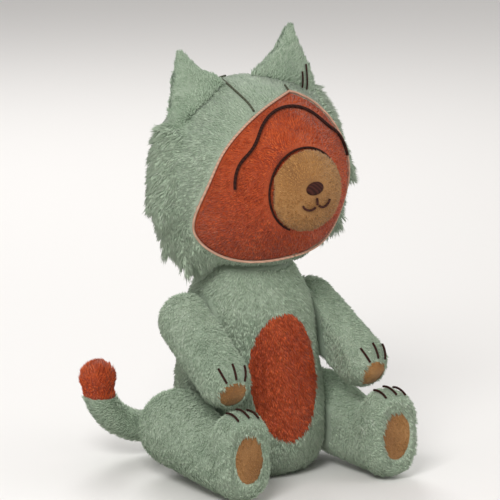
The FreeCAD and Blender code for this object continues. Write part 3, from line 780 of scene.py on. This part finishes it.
SKINS = {
    "head": dict(body="head", voxel=3.6 * MM, flat=[(2, -1)], fill=["head_stuffing", "neck_disc"],
                 panels={"head_skin": ["head_cover"], "face_skin": ["face_panel"],
                         "cheek_ruff_left_skin": ["cheek_ruff_left"],
                         "cheek_ruff_right_skin": ["cheek_ruff_right"]}),
    "body": dict(body="body", voxel=4 * MM, flat=[(0, 1), (0, -1), (1, 1), (2, 1), (2, -1)],
                 fill=BODY_FILL,
                 panels={"body_skin": ["body_cover"], "belly_skin": ["belly_panel"],
                         "seat_skin": ["base_panel"]}),
    "tail": dict(body="tail", voxel=3 * MM, flat=[(1, -1)], fill=["tail_stuffing", "tail_disc"],
                 panels={"tail_skin": ["tail_cover"], "tail_tip_skin": ["tail_tip_cover"]}),
    "muzzle": dict(body="head", voxel=2.6 * MM, flat=[], fill=["muzzle_stuffing"], draw_in=0.1 * MM,
                   panels={"muzzle_skin": ["muzzle_cover"]}),
}
for side, inward in (("left", -1), ("right", 1)):
    SKINS[f"arm_{side}"] = dict(
        body=f"arm_{side}", voxel=3.4 * MM, flat=[(0, inward)],
        fill=[f"arm_{side}_stuffing", f"shoulder_{side}_disc"],
        panels={f"arm_{side}_skin": [f"arm_{side}_cover"],
                f"paw_{side}_skin": [f"arm_{side}_paw_pad"]})
    SKINS[f"leg_{side}"] = dict(
        body=f"leg_{side}", voxel=3.6 * MM, flat=[(0, inward), (1, -1)],
        fill=[f"leg_{side}_stuffing", f"hip_{side}_disc"],
        panels={f"leg_{side}_skin": [f"leg_{side}_cover"],
                f"sole_{side}_skin": [f"leg_{side}_sole_pad"]})
    SKINS[f"ear_{side}"] = dict(
        body=None, voxel=2 * MM, flat=[], fill=[f"ear_{side}_wadding"], draw_in=0.5 * DRAW_IN,
        panels={f"ear_{side}_skin": [f"ear_{side}_cover"]})

COLOURS = {"face_skin": "orange", "belly_skin": "orange", "tail_tip_skin": "orange",
           "muzzle_skin": "tan", "paw_left_skin": "tan", "paw_right_skin": "tan",
           "sole_left_skin": "tan", "sole_right_skin": "tan"}


def make_skins():
    """Every skin, simulated together and cut into its panels."""
    rough, starts = {}, {}
    for name, plan in SKINS.items():
        covers = [node for nodes in plan["panels"].values() for node in nodes]
        rough[name] = remeshed(name, covers + plan["fill"], plan["voxel"])
        groups = list(plan["panels"].values())
        starts[name] = prepare_cloth(rough[name], plan["flat"], groups[0],
                                     [nodes[0] for nodes in groups[1:]], plan.get("draw_in", DRAW_IN))
    for step in range(1, CLOTH_STEPS + 1):
        bpy.context.scene.frame_set(step)
    skins = {}
    for name, plan in SKINS.items():
        finish_cloth(rough[name], starts[name])
        skins.update(split_panels(rough[name], plan["panels"]))
    bpy.context.scene.frame_set(1)
    return skins


def join_ear(piece):
    """Bake an ear piece's placement into its mesh."""
    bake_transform(piece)


def dress_skins():
    """Dress every panel; the first of each group also stands for the filling."""
    for plan in SKINS.values():
        stuffing = [node for node in plan["fill"] if node.endswith(("stuffing", "wadding"))]
        for name, nodes in plan["panels"].items():
            if name == "seat_skin":
                dress(skins[name], plan["body"], SEAT_CLOTH, nodes + stuffing)
            else:
                colour = COLOURS.get(name, "mint")
                dress(skins[name], plan["body"], CLOTH[colour], nodes + stuffing)
            stuffing = []


skins = make_skins()
dress_skins()


# ---- Stitches that only show: two short lines down the outer front of the left ear

EAR_STITCH_R = 0.6 * MM
EAR_STITCH_LIFT = 1.6       # radii from the cloth to the middle of the thread
EAR_STITCH_POINTS = 8
EAR_STITCH_LOW = 0.02       # shares of the ear's height
EAR_STITCHES = [(7.5 * MM, 0.46), (11.5 * MM, 0.38)]   # how far inside the edge, and up to what share
RAY_START = 50 * MM         # in front of the ear

def tube(name, points, radius):
    """A round thread along a few points."""
    curve = bpy.data.curves.new(name, "CURVE")
    curve.dimensions = "3D"
    curve.bevel_depth = radius
    curve.bevel_resolution = 3
    curve.resolution_u = 6
    curve.use_fill_caps = True
    spline = curve.splines.new("NURBS")
    spline.points.add(len(points) - 1)
    for spot, point in zip(spline.points, points):
        spot.co = (*point, 1)
    spline.use_endpoint_u = True
    spline.order_u = 3
    drawn = shown(name + "_curve", curve)
    mesh = mesh_after_modifiers(drawn)
    bpy.data.objects.remove(drawn)
    return mesh


def stitch_ear():
    """The lines lie on the front of the left ear, a little inside its outer edge."""
    low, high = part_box("ear_left_cover")
    skin = BVHTree.FromObject(skins["ear_left_skin"], bpy.context.evaluated_depsgraph_get())
    pieces = []
    for number, (inset, top) in enumerate(EAR_STITCHES):
        points = []
        for share in np.linspace(EAR_STITCH_LOW, top, EAR_STITCH_POINTS):
            height = low.z + (high.z - low.z) * share
            start = Vector((high.x - inset, low.y - RAY_START, height))
            point, normal, _, _ = skin.ray_cast(start, Vector((0, 1, 0)))
            if point is not None:
                points.append(point + normal * EAR_STITCH_R * EAR_STITCH_LIFT)
        thread = tube(f"ear_left_fold_{number}", points, EAR_STITCH_R)
        piece = shown(f"ear_left_fold_stitch_{number}", thread)
        piece.data.materials.append(SLOT_MATERIALS["brown_thread"])
        pieces.append(piece)
    return pieces


ear_stitches = stitch_ear()
THREAD_TREE = tree_of(THREADS + ["nose_patch"], ear_stitches)     # pile keeps clear of these too


# ---- Combed pile on each skin

def head_comb(places):
    """Fur of the head lies away from the muzzle and down towards the chin."""
    return unit(places - MUZZLE_MIDDLE) + np.array(HEAD_FALL)


def ruff_comb(places):
    """Cheek fur sweeps out from the head and down."""
    out = places - HEAD_CENTRE
    out[:, 1] *= RUFF_FLATTEN
    out = unit(out)
    side = np.sign(out[:, :1])
    down = np.stack([out[:, 2], np.zeros(len(out)), -out[:, 0]], axis=1) * side
    return out * RUFF_OUT + down * RUFF_DOWN


def limb_comb(start, end):
    """Pile of a limb lies from its joint to its end, and falls a little."""
    way = np.array(end) - np.array(start)
    return straight(way / np.linalg.norm(way) + np.array(LIMB_FALL))


NEIGHBOURS = {"head": ["body"], "body": ["head", "arm", "leg", "tail"]}    # the rest touch the body only


def other_trees(body):
    """Search trees over what lies by a body, each with how near it keeps pile away."""
    wanted = tuple(NEIGHBOURS.get(body, ["body"]))
    names = [name for name in ALL_COVERS if NODES[name]["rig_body"].startswith(wanted)]
    trees = [(tree_of(names), NEIGHBOUR_BARE)]
    if body == "body":
        limbs = [joint for joint in frame["joints"] if joint["child"].startswith(("arm", "leg"))]
        trees += [(swung_tree(joint, share), SWUNG_BARE) for joint in limbs for share in SWUNG_SHARES]
    return trees


def swung_tree(joint, share):
    """A search tree over a limb's covers, swung part of the way to the far end of its joint."""
    builder = bmesh.new()
    for name in ALL_COVERS:
        if NODES[name]["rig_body"] == joint["child"]:
            builder.from_mesh(NODES[name].data)
    pivot = Matrix.Translation(joint["pos_m"])
    angle = math.radians(joint["range_deg"][1] * share)
    swing = pivot @ Matrix.Rotation(angle, 4, Vector(joint["axis"])) @ pivot.inverted()
    bmesh.ops.transform(builder, matrix=swing, verts=builder.verts)
    tree = BVHTree.FromBMesh(builder)
    builder.free()
    return tree


def panel_trees(skin_name):
    """Search trees over a panel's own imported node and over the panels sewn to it."""
    panels = next(plan["panels"] for plan in SKINS.values() if skin_name in plan["panels"])
    if len(panels) == 1:
        return None, None
    others = [node for name, nodes in panels.items() if name != skin_name for node in nodes]
    return tree_of(panels[skin_name]), tree_of(others)


# Cheek fur lengthens from a start, over a span, up to a growth added to its usual length
TUFT_LOW = (10 * MM, 50 * MM)     # down from this height above the middle of the head
TUFT_RIM = (4 * MM, 10 * MM)      # and only out from this far outside the head
TUFT_TOP = (22 * MM, 14 * MM)     # and again up from this height
TUFT_GROWTH = 0.9
TUFT_TOP_SHARE = 0.4
EAR_ROOT_GROWTH = 0.5             # extra length of pile at the root of an ear
EAR_ROOT_RISE = 14 * MM
EAR_INSIDE_LENGTH = 0.02          # what is left of a strand inside the head
EAR_INSIDE = -1 * MM


def ruff_length(places):
    """Cheek fur is longest low down, where it hangs in tufts, and at the top, where it meets the ear."""
    up = places[:, 2] - HEAD_CENTRE[2]
    low = np.clip((TUFT_LOW[0] - up) / TUFT_LOW[1], 0, 1)
    top = np.clip((up - TUFT_TOP[0]) / TUFT_TOP[1], 0, 1) * TUFT_TOP_SHARE
    rim = np.clip((above_head(places) - TUFT_RIM[0]) / TUFT_RIM[1], 0, 1)
    return 1.0 + TUFT_GROWTH * low * rim + TUFT_GROWTH * top


def ear_length(places):
    """Pile hides the root of an ear, is shorter up the ear and is hardly there inside the head."""
    height = above_head(places)
    longer = 1.0 + EAR_ROOT_GROWTH * np.clip(1 - height / EAR_ROOT_RISE, 0, 1)
    return np.where(height < EAR_INSIDE, EAR_INSIDE_LENGTH, longer)


def ear_edge_painted_shade(places, normals):
    """Painted shade along the edge of an ear: a thin line of darker pile."""
    return (np.abs(normals[:, 1]) < EAR_SHADE_EDGE_FACING) & (above_head(places) > EAR_SHADE_EDGE_LOW)


def make_combs():
    """The way that pile lies on each skin."""
    combs = {"head_skin": head_comb, "face_skin": away_from(MUZZLE_MIDDLE, FACE_FALL),
             "cheek_ruff_left_skin": ruff_comb, "cheek_ruff_right_skin": ruff_comb,
             "muzzle_skin": away_from(middle_of("nose_patch"), MUZZLE_FALL),
             "body_skin": straight((0, 0, -1)), "belly_skin": straight((0, 0, -1)),
             "tail_skin": away_from(middle_of("tail_disc")), "tail_tip_skin": straight((0, 0, 1))}
    for side in ("left", "right"):
        paw = middle_of(f"arm_{side}_paw_pad")
        combs[f"arm_{side}_skin"] = limb_comb(middle_of(f"shoulder_{side}_disc"), paw)
        combs[f"leg_{side}_skin"] = limb_comb(middle_of(f"hip_{side}_disc"),
                                              middle_of(f"leg_{side}_sole_pad"))
        combs[f"ear_{side}_skin"] = away_from(HEAD_CENTRE)
        combs[f"paw_{side}_skin"] = away_from(paw, PAW_FALL)
        combs[f"sole_{side}_skin"] = straight((0, 0, -1))
    return combs


def make_settings():
    """What differs from the usual pile, skin by skin."""
    settings = {"muzzle_skin": dict(length=2.0 * MM, density=1.6e6),
                "face_skin": dict(length=3.0 * MM, density=1.1e6)}
    for side in ("left", "right"):
        settings[f"cheek_ruff_{side}_skin"] = dict(length=4.6 * MM, lean=0.95, density=1.1e6,
                                                   length_of=ruff_length, clump=5 * MM, pull=0.4)
        # painted shade: ear pile is shifted to darker tints, as the ears face the key light
        settings[f"ear_{side}_skin"] = dict(length=2.6 * MM, density=1.3e6, lean=1.15,
                                            painted_shade_shift=-0.8, painted_edge_shade=ear_edge_painted_shade,
                                            length_of=ear_length)
        for pad in ("paw", "sole"):
            settings[f"{pad}_{side}_skin"] = dict(length=1.5 * MM, density=1.5e6)
    return settings


def grow_all():
    """Pile on every skin but the seat.  Ears and their pile get no body and have their placement baked in.
    """
    settings = make_settings()
    for number, (name, comb) in enumerate(make_combs().items()):
        ear = name.startswith("ear")
        body = None if ear else skins[name]["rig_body"]
        own, others = panel_trees(name)
        pile = grow_pile(skins[name], COLOURS.get(name, "mint"), comb, body, 10 * number, own, others,
                         [] if ear else other_trees(body), **settings.get(name, {}))
        if ear:
            join_ear(skins[name])
            join_ear(pile)


grow_all()
for piece in ear_stitches:
    join_ear(piece)


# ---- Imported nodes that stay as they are

def dress_packed():
    """Threads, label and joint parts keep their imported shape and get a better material."""
    for node in NODES.values():
        if node.hide_render:
            continue
        packed_slot = node.data.materials[0].name.split(".")[0]
        for slot in node.material_slots:
            slot.link = "OBJECT"
            slot.material = SLOT_MATERIALS[packed_slot]


dress_packed()


# ---- Stage, light and camera

def make_floor():
    floor_mesh = bpy.data.meshes.new("floor")
    half = FLOOR_HALF
    floor_mesh.from_pydata([(-half, -half, 0), (half, -half, 0), (half, half, 0), (-half, half, 0)],
                           [], [(0, 1, 2, 3)])
    floor = shown("floor", floor_mesh)
    material, _, shader = new_material("pale_floor")
    shader.inputs["Base Color"].default_value = (*FLOOR_COLOUR, 1)
    shader.inputs["Roughness"].default_value = 0.6
    floor.data.materials.append(material)
    floor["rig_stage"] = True


def add_lamp(name, place, aim, size, power):
    light = bpy.data.lights.new(name, "AREA")
    light.size = size
    light.energy = power
    lamp = shown(name, light)
    lamp.location = place
    lamp.rotation_euler = (Vector(aim) - Vector(place)).to_track_quat("-Z", "Y").to_euler()


def make_light(middle):
    world = bpy.data.worlds.new("studio")
    bpy.context.scene.world = world
    world.use_nodes = True
    background = world.node_tree.nodes["Background"]
    background.inputs["Color"].default_value = (1, 0.99, 0.98, 1)
    background.inputs["Strength"].default_value = WORLD_LIGHT
    for name, (place, size, power) in LAMPS.items():
        add_lamp(name, place, middle, size, power)


def make_camera(low, high):
    middle = (low + high) / 2
    back = Vector((math.sin(CAMERA_AZIMUTH) * math.cos(CAMERA_ELEVATION),
                   -math.cos(CAMERA_AZIMUTH) * math.cos(CAMERA_ELEVATION), math.sin(CAMERA_ELEVATION)))
    camera = bpy.data.cameras.new("camera")
    height = high.z - low.z
    camera.lens = camera.sensor_width * CAMERA_DISTANCE / (height / FILL_OF_VIEW)
    viewer = shown("camera", camera)
    viewer.location = middle + back * CAMERA_DISTANCE
    viewer.rotation_euler = (-back).to_track_quat("-Z", "Y").to_euler()
    bpy.context.scene.camera = viewer


make_floor()
low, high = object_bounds()
make_light((low + high) / 2)
make_camera(low, high)
bpy.context.scene.view_settings.view_transform = "Standard"
